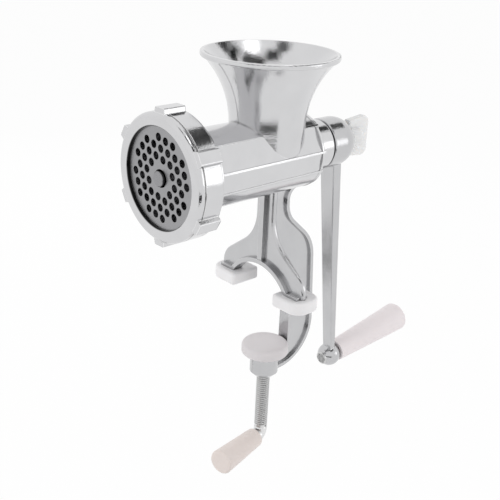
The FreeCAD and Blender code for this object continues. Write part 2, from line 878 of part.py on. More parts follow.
def on_screw(shape):
    return shape.rotated(Vector(0, 0, 0), upward, screw_turn)


def make_clamp_screw():
    tip = upright_cylinder(screw_tip_radius, disc_bottom - face_clearance, disc_top - face_clearance)
    head_top = disc_top - face_clearance
    head = upright_cylinder(screw_head_radius, head_top - screw_head_height, head_top)
    return on_screw(screw_rod().fuse([tip, head]).removeSplitter())


def make_clamp_grip():
    start = -handle_start
    end = start - handle_length
    corners = [
        (0, start - handle_hole_depth, 0),
        (screw_radius + bonded_fit, start - handle_hole_depth, 0),
        (screw_radius + bonded_fit, start, 0),
        (handle_small_radius, start, handle_small_round),
        (handle_large_radius, end, handle_end_round),
        (0, end, 0),
    ]
    face = Part.Face(rounded_wire(corners, lambda radius, y: Vector(0, y, screw_level + radius)))
    return on_screw(face.revolve(Vector(0, 0, screw_level), forward, 360))


def make_clamp_disc():
    pocket_floor = disc_top - face_clearance - screw_head_height - face_clearance
    return turned_upright([
        (screw_tip_radius + running_fit, disc_bottom, 0),
        (disc_radius, disc_bottom, 0),
        (disc_radius, disc_top, 0),
        (screw_head_radius + running_fit, disc_top, 0),
        (screw_head_radius + running_fit, pocket_floor, 0),
        (screw_tip_radius + running_fit, pocket_floor, 0),
    ])


def make_clamp_cap():
    return turned_upright([
        (0, disc_top, 0),
        (disc_radius + bonded_fit, disc_top, 0),
        (disc_radius + bonded_fit, cap_bottom, 0),
        (cap_radius, cap_bottom, cap_round / 2),
        (cap_radius, cap_top_z, cap_round),
        (0, cap_top_z, 0),
    ])


def build():
    near_pad = make_foot_pad()
    return {
        "grinder_body": make_grinder_body(),
        "plate_key_pin": make_plate_key_pin(),
        "rear_bush": make_rear_bush(),
        "thrust_washer": make_thrust_washer(),
        "foot_pad_left": mirrored(near_pad),
        "foot_pad_right": near_pad,
        "cutting_plate": make_cutting_plate(),
        "cutter_knife": make_cutter_knife(),
        "auger": make_auger(),
        "auger_stub": make_auger_stub(),
        "ring_nut": make_ring_nut(),
        "crank_arm": make_crank_arm(),
        "handle_pin": make_handle_pin(),
        "grip_washer": make_grip_washer(),
        "crank_grip": make_crank_grip(),
        "wing_washer": make_wing_washer(),
        "wing_stud": make_wing_stud(),
        "wing_knob": make_wing_knob(),
        "clamp_screw": make_clamp_screw(),
        "clamp_grip": make_clamp_grip(),
        "clamp_disc": make_clamp_disc(),
        "clamp_cap": make_clamp_cap(),
    }


os.makedirs("parts", exist_ok=True)
for node, shape in build().items():
    shape.exportStep("parts/" + node + ".step")
    print(node, "solids", len(shape.Solids), "valid", shape.isValid(), "volume", round(shape.Volume, 1))
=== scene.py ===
# %% [markdown]
# # A hand crank meat grinder on a white studio sweep
# The grinder is one bright casting with a hopper, a barrel and a leg, and it clamps to the edge of a table.
# Its solid model already has every piece in its true place, so this lesson loads it as a fixed frame.
# What is left for Blender is the part that the eye judges: camera, light, finishes and fine surface forms.

# %% Load the solids
import math

import bmesh
import bpy
from mathutils import Matrix, Vector


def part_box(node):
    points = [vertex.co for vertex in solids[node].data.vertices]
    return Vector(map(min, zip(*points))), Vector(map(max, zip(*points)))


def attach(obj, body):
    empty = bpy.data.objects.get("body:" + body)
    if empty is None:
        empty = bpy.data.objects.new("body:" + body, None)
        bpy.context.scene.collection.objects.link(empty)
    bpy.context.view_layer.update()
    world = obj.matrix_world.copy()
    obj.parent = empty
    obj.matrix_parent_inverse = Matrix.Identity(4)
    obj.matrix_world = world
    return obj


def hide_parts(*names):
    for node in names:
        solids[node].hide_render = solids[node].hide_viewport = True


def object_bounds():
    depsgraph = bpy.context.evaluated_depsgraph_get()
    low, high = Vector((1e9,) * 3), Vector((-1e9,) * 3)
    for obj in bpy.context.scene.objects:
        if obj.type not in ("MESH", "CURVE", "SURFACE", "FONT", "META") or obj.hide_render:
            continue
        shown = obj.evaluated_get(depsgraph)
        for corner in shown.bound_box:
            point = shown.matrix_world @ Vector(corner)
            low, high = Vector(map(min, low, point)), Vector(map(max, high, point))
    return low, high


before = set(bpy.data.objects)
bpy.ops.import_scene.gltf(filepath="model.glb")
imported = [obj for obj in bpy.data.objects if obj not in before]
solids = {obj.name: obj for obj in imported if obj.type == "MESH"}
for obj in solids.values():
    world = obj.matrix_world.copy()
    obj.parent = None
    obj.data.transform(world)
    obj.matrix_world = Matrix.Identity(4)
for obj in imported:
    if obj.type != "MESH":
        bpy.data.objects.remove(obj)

millimetre = 0.001
cad_low, cad_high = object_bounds()
print("solids loaded:", len(solids))
print("box in millimetres:", [round(side / millimetre) for side in cad_high - cad_low])

# %% [markdown]
# ## The camera
# A portrait only matches when the camera stands where the photographer stood.
# The circles of the ring, the hopper and the hub give the direction, and their sizes give the distance.
# A constraint could aim the camera, but a matrix built from three directions also keeps its small roll.

# %% Camera place and aim
camera_place = Vector((358.7, -351.9, 235.8)) * millimetre
camera_azimuth = math.radians(46.96)
camera_elevation = math.radians(22.63)
camera_roll = math.radians(2.66)
camera_lens = 64.05
camera_near = 0.01


def direction(azimuth, elevation):
    """The unit vector towards an azimuth, counted from the front to the near side, and an elevation."""
    level = math.cos(elevation)
    return Vector((math.sin(azimuth) * level, -math.cos(azimuth) * level, math.sin(elevation)))


back = direction(camera_azimuth, camera_elevation)
right = Vector((math.cos(camera_azimuth), math.sin(camera_azimuth), 0))
upward = back.cross(right)
rolled_right = right * math.cos(camera_roll) + upward * math.sin(camera_roll)
rolled_up = upward * math.cos(camera_roll) - right * math.sin(camera_roll)

camera_data = bpy.data.cameras.new("portrait_camera")
camera_data.lens = camera_lens
camera_data.clip_start = camera_near
camera = bpy.data.objects.new("portrait_camera", camera_data)
bpy.context.scene.collection.objects.link(camera)
aim = Matrix((rolled_right, rolled_up, back)).transposed().to_4x4()
camera.matrix_world = Matrix.Translation(camera_place) @ aim
bpy.context.scene.camera = camera
print("camera stands", round(camera_place.length / millimetre), "mm from the origin")

# %% [markdown]
# ## The white room
# Polished metal has almost no colour of its own: it shows the room.
# A world that is white for the camera and for reflections makes the metal bright, as in a product portrait.
# The same world lights plain surfaces less strongly, which leaves room for lamps to give them a light side.

# %% World
bpy.context.scene.view_settings.view_transform = "Standard"
world = bpy.data.worlds.new("white_room")
bpy.context.scene.world = world
world.use_nodes = True
world_tree = world.node_tree
background = world_tree.nodes["Background"]
background.inputs["Color"].default_value = (1, 1, 1, 1)
ambient_strength = 0.72


def seen_directly(tree):
    """A value of 1 for camera, mirror and see-through rays, and 0 for the rays that only carry light."""
    path = tree.nodes.new("ShaderNodeLightPath")
    total = path.outputs["Is Camera Ray"]
    for name in ("Is Glossy Ray", "Is Transmission Ray"):
        either = tree.nodes.new("ShaderNodeMath")
        either.operation = "MAXIMUM"
        tree.links.new(total, either.inputs[0])
        tree.links.new(path.outputs[name], either.inputs[1])
        total = either.outputs[0]
    return total


strength = world_tree.nodes.new("ShaderNodeMapRange")
strength.inputs["To Min"].default_value = ambient_strength
strength.inputs["To Max"].default_value = 1.0
world_tree.links.new(seen_directly(world_tree), strength.inputs["Value"])
world_tree.links.new(strength.outputs["Result"], background.inputs["Strength"])
print("world lights plain surfaces at", ambient_strength)

# %% [markdown]
# ## The floor
# The floor lies well under the clamp handle, because the grinder hangs on a table edge in use.
# It is a pale matt surface, lifted towards white where the camera looks at it.
# What is left of the matt share carries a faint soft shadow.

# %% Floor
floor_drop = 0.16
floor_half = 12.0
floor_grey = 0.9
floor_roughness = 0.9
floor_white_share = 0.94


def stage_object(name, shape):
    """An object of the studio from a bmesh, kept apart from the grinder's own pieces."""
    mesh = bpy.data.meshes.new(name)
    shape.to_mesh(mesh)
    shape.free()
    made = bpy.data.objects.new(name, mesh)
    bpy.context.scene.collection.objects.link(made)
    return made


def matt_paint(name, grey, roughness):
    """A grey paint without any shine."""
    paint = bpy.data.materials.new(name)
    paint.use_nodes = True
    matt = paint.node_tree.nodes["Principled BSDF"]
    matt.inputs["Base Color"].default_value = (grey, grey, grey, 1)
    matt.inputs["Roughness"].default_value = roughness
    matt.inputs["Specular IOR Level"].default_value = 0.0
    return paint


sheet = bmesh.new()
bmesh.ops.create_grid(sheet, x_segments=1, y_segments=1, size=floor_half)
bmesh.ops.translate(sheet, vec=(0, 0, cad_low.z - floor_drop), verts=sheet.verts)
floor = stage_object("studio_floor", sheet)
floor_paint = matt_paint("floor_paint", floor_grey, floor_roughness)
floor_tree = floor_paint.node_tree
floor_matt = floor_tree.nodes["Principled BSDF"]
floor_glow = floor_tree.nodes.new("ShaderNodeEmission")
floor_mix = floor_tree.nodes.new("ShaderNodeMixShader")
floor_share = floor_tree.nodes.new("ShaderNodeMath")
floor_share.operation = "MULTIPLY"
floor_share.inputs[1].default_value = floor_white_share
floor_tree.links.new(seen_directly(floor_tree), floor_share.inputs[0])
floor_tree.links.new(floor_share.outputs[0], floor_mix.inputs["Fac"])
floor_tree.links.new(floor_matt.outputs["BSDF"], floor_mix.inputs[1])
floor_tree.links.new(floor_glow.outputs["Emission"], floor_mix.inputs[2])
floor_tree.links.new(floor_mix.outputs["Shader"], floor_tree.nodes["Material Output"].inputs["Surface"])
floor.data.materials.append(floor_paint)
print("floor lies", round(floor_drop / millimetre), "mm under the lowest piece")

# %% [markdown]
# ## Lamps and dark cards
# Large soft lamps give the plastic a light side, and two fainter ones show in the metal as white glints.
# In an all-white room polished metal looks like paper, so a photographer hangs dark cards around it.
# The cards here are seen only by mirror rays: they draw the dark bands and take no light away.
# A far card darkens every surface that faces it, and a near one only the spot that it is hung for.

# %% Lamps
grinder_middle = Vector((0, 0.01, 0.07))


def soft_lamp(name, place, size, power, mirrored):
    """A round lamp aimed at the grinder; metal shows it as a glint only when it is mirrored."""
    lamp_data = bpy.data.lights.new(name, "AREA")
    lamp_data.shape = "DISK"
    lamp_data.size = size
    lamp_data.energy = power
    lamp = bpy.data.objects.new(name, lamp_data)
    lamp.location = place
    lamp.rotation_euler = (grinder_middle - Vector(place)).to_track_quat("-Z", "Y").to_euler()
    lamp.visible_glossy = mirrored
    bpy.context.scene.collection.objects.link(lamp)


soft_lamp("key_lamp", place=(-0.25, -1.15, 0.70), size=0.7, power=5.0, mirrored=False)
soft_lamp("side_lamp", place=(1.01, 0.82, 0.37), size=0.4, power=2.6, mirrored=False)
soft_lamp("ring_glint", place=(1.01, 0.82, 0.20), size=0.55, power=0.7, mirrored=True)
soft_lamp("hopper_glint", place=(0.44, 0.22, 1.28), size=0.4, power=0.6, mirrored=True)
soft_lamp("rear_lamp", place=(-1.08, 0.62, 0.40), size=0.6, power=2.2, mirrored=False)
print("lamps:", [lamp.name for lamp in bpy.data.lights])

# %% Dark cards
card_roughness = 0.95
black_paint = matt_paint("black_card_paint", grey=0.015, roughness=card_roughness)
grey_paint = matt_paint("grey_card_paint", grey=0.08, roughness=card_roughness)
far_away = 3.0
hopper_foot = Vector((0.01, -0.03, 0.12))
hopper_wall = Vector((-0.015, 0.010, 0.140))
ring_shoulder = Vector((0.025, -0.075, 0.113))
arm_middle = Vector((0.0015, 0.052, 0.012))


def angle_between(ends, place):
    """The angle at a place from -1 to 1 between two ends in degrees."""
    return math.radians((ends[0] * (1 - place) + ends[1] * (1 + place)) / 2)


def dark_card(name, azimuths, elevations, distance, centre=grinder_middle, paint=black_paint):
    """A dark card bent round a centre, between two azimuths and two elevations in degrees."""
    card = bmesh.new()
    bmesh.ops.create_grid(card, x_segments=16, y_segments=6, size=1)
    for corner in card.verts:
        azimuth = angle_between(azimuths, corner.co.x)
        elevation = angle_between(elevations, corner.co.y)
        corner.co = centre + direction(azimuth, elevation) * distance
    made = stage_object(name, card)
    made.data.materials.append(paint)
    made.visible_camera = False
    made.visible_diffuse = False
    made.visible_transmission = False
    made.visible_shadow = False


dark_card("rear_card", (163, 190), (37, 58), far_away, paint=grey_paint)
dark_card("high_card", (62, 125), (46, 60), far_away)
dark_card("steep_card", (15, 62), (57, 71), far_away)
dark_card("front_card", (-28, 15), (66, 79), far_away)
dark_card("ring_card", (138, 166), (43, 58), distance=0.22, centre=ring_shoulder, paint=grey_paint)
dark_card("hopper_card", (140, 164), (37, 58), distance=0.25, centre=hopper_wall)
dark_card("low_card", (14, 80), (-28, -18), distance=0.6, centre=hopper_foot)
dark_card("arm_card", (-49, -44), (-36, -27), distance=0.3, centre=arm_middle, paint=grey_paint)
print("dark cards stand around the metal")

# %% [markdown]
# ## Tools for finishes
# A finish is a shader and a few patterns that steer it.
# The patterns read Object coordinates, so they stay on a piece when it moves.
# Small helpers keep each finish short.
# They stretch a value, mix two colours, ripple the surface, paint a highlight on its edges or paint shade
# into its crevices.

# %% Finish helpers
crevice_samples = 8
edge_samples = 6
worn_and_lit_likeness = 0.80
plain_likeness = 0.97
plate_radius = 0.031
barrel_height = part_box("cutting_plate")[1].z - plate_radius
barrel_middle = (0, 0, barrel_height)


def new_finish(name, colour, metal, roughness):
    """A new material with its shader set to plain values."""
    finish = bpy.data.materials.new(name)
    finish.use_nodes = True
    shader = finish.node_tree.nodes["Principled BSDF"]
    shader.inputs["Base Color"].default_value = (*colour, 1)
    shader.inputs["Metallic"].default_value = metal
    shader.inputs["Roughness"].default_value = roughness
    return finish, finish.node_tree, shader


def place_on(tree, scale=(1, 1, 1), centre=(0, 0, 0)):
    """Object coordinates, moved so that the pattern is centred on a point and stretched by a scale."""
    coordinates = tree.nodes.new("ShaderNodeTexCoord")
    mapping = tree.nodes.new("ShaderNodeMapping")
    mapping.inputs["Scale"].default_value = scale
    mapping.inputs["Location"].default_value = [-middle * factor for middle, factor in zip(centre, scale)]
    tree.links.new(coordinates.outputs["Object"], mapping.inputs["Vector"])
    return mapping.outputs["Vector"]


def noise(tree, vector, scale, detail=3.0):
    """Cloudy values from 0 to 1, mostly near the middle."""
    texture = tree.nodes.new("ShaderNodeTexNoise")
    texture.inputs["Scale"].default_value = scale
    texture.inputs["Detail"].default_value = detail
    tree.links.new(vector, texture.inputs["Vector"])
    return texture.outputs["Fac"]


def spread(tree, value, low, high, from_low=0.3, from_high=0.7):
    """The value stretched from its middle band to a new range."""
    stretch = tree.nodes.new("ShaderNodeMapRange")
    stretch.inputs["From Min"].default_value = from_low
    stretch.inputs["From Max"].default_value = from_high
    stretch.inputs["To Min"].default_value = low
    stretch.inputs["To Max"].default_value = high
    tree.links.new(value, stretch.inputs["Value"])
    return stretch.outputs["Result"]


def combine(tree, first, second, operation):
    """Two values joined by one sum or product."""
    step = tree.nodes.new("ShaderNodeMath")
    step.operation = operation
    tree.links.new(first, step.inputs[0])
    tree.links.new(second, step.inputs[1])
    return step.outputs[0]


def tint(tree, value, dark, light):
    """A colour between two by a value from 0 to 1; each is a colour or another node's output."""
    mix = tree.nodes.new("ShaderNodeMix")
    mix.data_type = "RGBA"
    for name, colour in (("A", dark), ("B", light)):
        if isinstance(colour, tuple):
            mix.inputs[name].default_value = (*colour, 1)
        else:
            tree.links.new(colour, mix.inputs[name])
    tree.links.new(value, mix.inputs["Factor"])
    return mix.outputs["Result"]


def height_step(tree, low, high):
    """A value that goes from 0 to 1 between two heights above the table."""
    parts = tree.nodes.new("ShaderNodeSeparateXYZ")
    tree.links.new(place_on(tree), parts.inputs["Vector"])
    return spread(tree, parts.outputs["Z"], 0.0, 1.0, low, high)


def axis_step(tree, low, high):
    """A value that goes from 0 to 1 between two distances from the barrel's axis."""
    distance = tree.nodes.new("ShaderNodeVectorMath")
    distance.operation = "LENGTH"
    tree.links.new(place_on(tree, (1, 0, 1), barrel_middle), distance.inputs[0])
    return spread(tree, distance.outputs["Value"], 0.0, 1.0, low, high)


def crevice_shade(tree, reach, deep=0.15, shallow=0.75):
    """A value that falls from 1 towards 0 where nearby surfaces close in, for painting shade into crevices.
    """
    shade = tree.nodes.new("ShaderNodeAmbientOcclusion")
    shade.samples = crevice_samples
    shade.inputs["Distance"].default_value = reach
    return spread(tree, shade.outputs["AO"], 0.0, 1.0, deep, shallow)


def rounded_edge(tree, radius):
    """The direction of the surface, as if its sharp edges were rounded."""
    edge = tree.nodes.new("ShaderNodeBevel")
    edge.samples = edge_samples
    edge.inputs["Radius"].default_value = radius
    return edge.outputs["Normal"]


def edge_wear_and_highlight(tree, radius):
    """A value that rises to 1 along sharp edges, for a painted highlight that also stands for wear from
    handling.
    """
    surface = tree.nodes.new("ShaderNodeNewGeometry")
    likeness = tree.nodes.new("ShaderNodeVectorMath")
    likeness.operation = "DOT_PRODUCT"
    tree.links.new(rounded_edge(tree, radius), likeness.inputs[0])
    tree.links.new(surface.outputs["Normal"], likeness.inputs[1])
    return spread(tree, likeness.outputs["Value"], 1.0, 0.0, worn_and_lit_likeness, plain_likeness)


def ripple(tree, value, strength, depth, edge_radius=0.0):
    """A bump from a value, over edges rounded in the shading when a radius is given."""
    bump = tree.nodes.new("ShaderNodeBump")
    bump.inputs["Strength"].default_value = strength
    bump.inputs["Distance"].default_value = depth
    tree.links.new(value, bump.inputs["Height"])
    if edge_radius > 0:
        tree.links.new(rounded_edge(tree, edge_radius), bump.inputs["Normal"])
    return bump.outputs["Normal"]


print("finish helpers are ready")

# %% [markdown]
# ## The bright castings
# Body, ring nut and crank are polished castings: bright, a little soft in their reflections, and uneven.
# Large patches change how sharp the reflections are, and polishing streaks and a fine grain ripple them.
# The hopper and the barrel are buffed bright, and the leg under them is duller, as it came from the mould.
# Edges are lightened with a painted highlight that also stands for handling wear, and crevices are darkened
# with painted shade.

# %% Bright casting
casting_light = (0.69, 0.69, 0.70)
casting_dark = (0.60, 0.60, 0.61)
crank_light = (0.60, 0.60, 0.61)
crank_dark = (0.50, 0.50, 0.51)
leg_light = (0.60, 0.60, 0.61)
leg_dark = (0.50, 0.50, 0.51)
worn_edge_highlight = (0.90, 0.90, 0.90)
casting_crevice_shade = (0.09, 0.09, 0.09)
bore_shade = (0.02, 0.02, 0.02)
bore_edge = 0.0002
ring_bore = 0.028
leg_top = 0.066
leg_blend = 0.006
hopper_start = 0.109
hopper_full = 0.113
patch_scale = 70.0
streak_scale = 90.0
streak_detail = 5.0
grain_scale = 1400.0
grain_detail = 2.0
ripple_depth = 0.0003
upright_streaks = (6, 6, 0.5)
lengthwise_streaks = (6, 0.5, 6)


def bright_casting(name, light, dark, smooth, rough, streaks, edge_radius, bore=0.0):
    """Polished casting, with polishing streaks drawn out along one direction and a bore painted nearly
    black as shade.
    """
    finish, tree, shader = new_finish(name, light, metal=1.0, roughness=smooth)
    patches = noise(tree, place_on(tree), patch_scale)
    lines = noise(tree, place_on(tree, streaks), streak_scale, streak_detail)
    grain = noise(tree, place_on(tree), grain_scale, grain_detail)
    colour = tint(tree, patches, dark, light)
    # Edges are lightened: a painted highlight, with wear from handling.
    colour = tint(tree, edge_wear_and_highlight(tree, edge_radius), colour, worn_edge_highlight)
    # Crevices are darkened: painted shade.
    colour = tint(tree, crevice_shade(tree, reach=0.004), casting_crevice_shade, colour)
    # The inside of the bore is painted nearly black: painted shade.
    if bore > 0:
        outside = axis_step(tree, bore + bore_edge, bore + 3 * bore_edge)
        colour = tint(tree, outside, bore_shade, colour)
    tree.links.new(spread(tree, patches, smooth, rough), shader.inputs["Roughness"])
    tree.links.new(colour, shader.inputs["Base Color"])
    surface = combine(tree, lines, grain, "ADD")
    normal = ripple(tree, surface, strength=0.12, depth=ripple_depth, edge_radius=edge_radius)
    tree.links.new(normal, shader.inputs["Normal"])
    return finish


def body_finish(name):
    """The body's casting: streaks run up the hopper and along the barrel, and the leg is duller."""
    finish, tree, shader = new_finish(name, casting_light, metal=1.0, roughness=0.2)
    above_leg = height_step(tree, leg_top - leg_blend, leg_top + leg_blend)
    on_hopper = height_step(tree, hopper_start, hopper_full)
    patches = noise(tree, place_on(tree), patch_scale)
    upright = noise(tree, place_on(tree, upright_streaks), streak_scale, streak_detail)
    lengthwise = noise(tree, place_on(tree, lengthwise_streaks), streak_scale, streak_detail)
    grain = noise(tree, place_on(tree), grain_scale, grain_detail)
    polished = tint(tree, patches, casting_dark, casting_light)
    dull = tint(tree, patches, leg_dark, leg_light)
    colour = tint(tree, above_leg, dull, polished)
    # Edges are lightened: a painted highlight, with wear from handling.
    colour = tint(tree, edge_wear_and_highlight(tree, radius=0.0004), colour, worn_edge_highlight)
    # Crevices are darkened: painted shade.
    colour = tint(tree, crevice_shade(tree, reach=0.0022), casting_crevice_shade, colour)
    tree.links.new(colour, shader.inputs["Base Color"])
    uneven = spread(tree, patches, low=0.0, high=0.07)
    dullness = spread(tree, above_leg, low=0.16, high=0.09, from_low=0, from_high=1)
    tree.links.new(combine(tree, uneven, dullness, "ADD"), shader.inputs["Roughness"])
    streaks = tree.nodes.new("ShaderNodeMix")
    tree.links.new(on_hopper, streaks.inputs["Factor"])
    tree.links.new(lengthwise, streaks.inputs["A"])
    tree.links.new(upright, streaks.inputs["B"])
    surface = combine(tree, streaks.outputs["Result"], grain, "ADD")
    normal = ripple(tree, surface, strength=0.16, depth=ripple_depth, edge_radius=0.0003)
    tree.links.new(normal, shader.inputs["Normal"])
    return finish


body_casting = body_finish("body_casting")
ring_casting = bright_casting(
    "ring_casting", casting_light, casting_dark,
    smooth=0.07, rough=0.15, streaks=(4, 1, 4), edge_radius=0.0008, bore=ring_bore,
)
crank_casting = bright_casting(
    "crank_casting", crank_light, crank_dark,
    smooth=0.12, rough=0.20, streaks=(6, 6, 0.4), edge_radius=0.0004,
)
auger_casting = bright_casting(
    "auger_casting", casting_light, casting_dark,
    smooth=0.36, rough=0.50, streaks=(2, 2, 2), edge_radius=0.0004,
)
print("castings:", body_casting.name, ring_casting.name, crank_casting.name, auger_casting.name)

# %% [markdown]
# ## Ground and drawn steel
# The cutting plate and the knife are ground flat on a turning table, which leaves fine rings.
# A ring-shaped wave, centred on the barrel, draws them, and its distortion keeps them from looking printed.
# Pins, washers and screws are plain drawn steel with fine lines.
# Painted shade darkens the crevices, and how far it reaches is set for each steel.

# %% Steel finishes
plate_crevice_shade = (0.03, 0.03, 0.03)
steel_crevice_shade = (0.05, 0.05, 0.05)
stain_scale = 110.0
line_scale = 260.0
line_stretch = (5, 5, 1)
steel_detail = 4.0
steel_ripple = 0.0002


def ground_steel(name, light, dark):
    """Flat steel with fine rings round the barrel's axis and uneven stains."""
    finish, tree, shader = new_finish(name, light, metal=1.0, roughness=0.34)
    rings = tree.nodes.new("ShaderNodeTexWave")
    rings.wave_type = "RINGS"
    rings.rings_direction = "Y"
    rings.inputs["Scale"].default_value = 420.0
    rings.inputs["Distortion"].default_value = 2.5
    rings.inputs["Detail"].default_value = 3.0
    rings.inputs["Detail Scale"].default_value = 2.0
    tree.links.new(place_on(tree, centre=barrel_middle), rings.inputs["Vector"])
    stains = noise(tree, place_on(tree), stain_scale, steel_detail)
    worn = tint(tree, stains, dark, light)
    # Crevices are darkened: painted shade.
    crevice_shaded = tint(tree, crevice_shade(tree, reach=0.0015), plate_crevice_shade, worn)
    normal = ripple(tree, rings.outputs["Fac"], strength=0.12, depth=steel_ripple, edge_radius=0.0002)
    tree.links.new(crevice_shaded, shader.inputs["Base Color"])
    tree.links.new(spread(tree, stains, low=0.28, high=0.42), shader.inputs["Roughness"])
    tree.links.new(normal, shader.inputs["Normal"])
    return finish


def drawn_steel(name, light, dark, reach=0.0015, deep=0.15, shallow=0.75):
    """Steel with fine lines, and with painted shade in its crevices."""
    finish, tree, shader = new_finish(name, light, metal=1.0, roughness=0.28)
    lines = noise(tree, place_on(tree, line_stretch), line_scale, steel_detail)
    worn = tint(tree, lines, dark, light)
    # Crevices are darkened: painted shade.
    crevice_shaded = tint(tree, crevice_shade(tree, reach, deep, shallow), steel_crevice_shade, worn)
    normal = ripple(tree, lines, strength=0.08, depth=steel_ripple)
    tree.links.new(crevice_shaded, shader.inputs["Base Color"])
    tree.links.new(spread(tree, lines, low=0.22, high=0.36), shader.inputs["Roughness"])
    tree.links.new(normal, shader.inputs["Normal"])
    return finish


plate_steel = ground_steel("plate_steel", (0.40, 0.40, 0.41), (0.32, 0.32, 0.33))
bright_steel = drawn_steel("bright_steel", (0.68, 0.68, 0.68), (0.54, 0.54, 0.54))
# Thread, stub and rivet steels darken their crevices deeply: painted shade in the thread roots, on the
# stub's side in its hole and in the rivet's dents.
thread_steel = drawn_steel(
    "thread_steel", (0.82, 0.82, 0.82), (0.72, 0.72, 0.72),
    reach=0.0016, deep=0.45, shallow=0.95,
)
stub_steel = drawn_steel(
    "stub_steel", (0.36, 0.36, 0.37), (0.28, 0.28, 0.29),
    reach=0.006, deep=0.55, shallow=0.95,
)
rivet_steel = drawn_steel(
    "rivet_steel", (0.66, 0.66, 0.66), (0.08, 0.08, 0.08),
    reach=0.003, deep=0.55, shallow=0.98,
)
steels = (plate_steel, bright_steel, thread_steel, stub_steel, rivet_steel)
print("steels:", [steel.name for steel in steels])

# %% [markdown]
# ## White plastics
# Pads, grips and the clamp cap are moulded plastic, white with a slightly warm grey in the grips.
# Light goes a little way into such plastic, so a small share of scattering keeps its shadows soft.
# A faint moulded grain stops the broad faces from looking like wax.
# The wing is milky: more of the light goes into it, and deeper.

# %% Plastic finishes
scatter_tint = (1.0, 0.95, 0.9)
cloud_scale = 45.0
moulded_grain_scale = 1800.0
moulded_ripple = 0.0002
roughness_play = 0.06


def moulded_plastic(name, light, dark, roughness=0.46, inner_glow=0.15, depth=0.002):
    """Cloudy plastic that lets a share of the light in, down to a depth."""
    finish, tree, shader = new_finish(name, light, metal=0.0, roughness=roughness)
    shader.inputs["Subsurface Weight"].default_value = inner_glow
    shader.inputs["Subsurface Radius"].default_value = scatter_tint
    shader.inputs["Subsurface Scale"].default_value = depth
    shader.inputs["Specular IOR Level"].default_value = 0.4
    clouds = noise(tree, place_on(tree), cloud_scale)
    grain = noise(tree, place_on(tree), moulded_grain_scale, grain_detail)
    uneven = spread(tree, grain, roughness - roughness_play, roughness + roughness_play)
    normal = ripple(tree, grain, strength=0.12, depth=moulded_ripple, edge_radius=0.0004)
    tree.links.new(tint(tree, clouds, dark, light), shader.inputs["Base Color"])
    tree.links.new(uneven, shader.inputs["Roughness"])
    tree.links.new(normal, shader.inputs["Normal"])
    return finish


pad_plastic = moulded_plastic("pad_plastic", (0.88, 0.87, 0.88), (0.82, 0.81, 0.82), roughness=0.50)
grip_plastic = moulded_plastic("grip_plastic", (0.87, 0.81, 0.82), (0.82, 0.765, 0.775))
warm_plastic = moulded_plastic("warm_plastic", (0.785, 0.71, 0.675), (0.735, 0.66, 0.625))
cap_plastic = moulded_plastic("cap_plastic", (0.72, 0.69, 0.70), (0.66, 0.63, 0.64))
wing_plastic = moulded_plastic(
    "wing_plastic", (0.82, 0.82, 0.82), (0.79, 0.79, 0.79),
    roughness=0.34, inner_glow=0.60, depth=0.006,
)
bearing_plastic = moulded_plastic(
    "bearing_plastic", (0.84, 0.84, 0.82), (0.80, 0.80, 0.78),
    roughness=0.45, inner_glow=0.10, depth=0.001,
)
plastics = (pad_plastic, grip_plastic, warm_plastic, cap_plastic, wing_plastic, bearing_plastic)
print("plastics:", [plastic.name for plastic in plastics])

# %% [markdown]
# ## Finishes on the solids
# Each solid keeps its shape and place and only changes its first material slot.
# A table from finish to solids is easier to read and to change than one line for each.

# %% Give out the finishes
finish_of = {
    body_casting: ["grinder_body"],
    ring_casting: ["ring_nut"],
    crank_casting: ["crank_arm"],
    auger_casting: ["auger"],
    plate_steel: ["cutting_plate", "cutter_knife", "auger_stub"],
    bright_steel: [
        "plate_key_pin", "handle_pin", "grip_washer",
        "wing_washer", "wing_stud", "clamp_screw", "clamp_disc",
    ],
    pad_plastic: ["foot_pad_left", "foot_pad_right"],
    grip_plastic: ["crank_grip"],
    warm_plastic: ["clamp_grip"],
    cap_plastic: ["clamp_cap"],
    wing_plastic: ["wing_knob"],
    bearing_plastic: ["rear_bush", "thrust_washer"],
}
for finish, names in finish_of.items():
    for name in names:
        solids[name].material_slots[0].material = finish
print("solids with a finish:", sum(len(names) for names in finish_of.values()))

# %% [markdown]
# ## Screw threads
# The clamp screw, the wing screw and the neck under the ring nut are threaded, but plain in the solids.
# A thread could be a bump pattern, but its teeth would vanish at the outline of the rod.
# Here one small tooth is spun round the axis as it climbs, over a rod turned down to the thread's depth.

# %% Thread tools
weld_distance = 0.001 * millimetre
sharp_angle = math.radians(35)
tooth_foot_share = 0.46
tooth_top_share = 0.10
tooth_sink = 0.1 * millimetre


def finish_piece(name, shape, finish, body):
    """Close a bmesh into an object with smooth shading, a finish and a body to ride on."""
    bmesh.ops.remove_doubles(shape, verts=shape.verts, dist=weld_distance)
    bmesh.ops.recalc_face_normals(shape, faces=shape.faces)
    mesh = bpy.data.meshes.new(name)
    shape.to_mesh(mesh)
    shape.free()
    mesh.shade_smooth()
    mesh.set_sharp_from_angle(angle=sharp_angle)
    mesh.materials.append(finish)
    piece = bpy.data.objects.new(name, mesh)
    bpy.context.scene.collection.objects.link(piece)
    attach(piece, body)
    print(name, "has", len(mesh.polygons), "faces")
    return piece


def turned(shape, outline, segments):
    """Spin a line of (radius, height) points round the Z axis."""
    line = [shape.verts.new((radius, 0, height)) for radius, height in outline]
    edges = [shape.edges.new(pair) for pair in zip(line, line[1:])]
    bmesh.ops.spin(
        shape, geom=line + edges, cent=(0, 0, 0), axis=(0, 0, 1),
        angle=2 * math.pi, steps=segments, use_merge=True,
    )
    bmesh.ops.remove_doubles(shape, verts=shape.verts, dist=weld_distance)


def open_rim(shape):
    """The edges with a face on one side only."""
    return [edge for edge in shape.edges if edge.is_boundary]


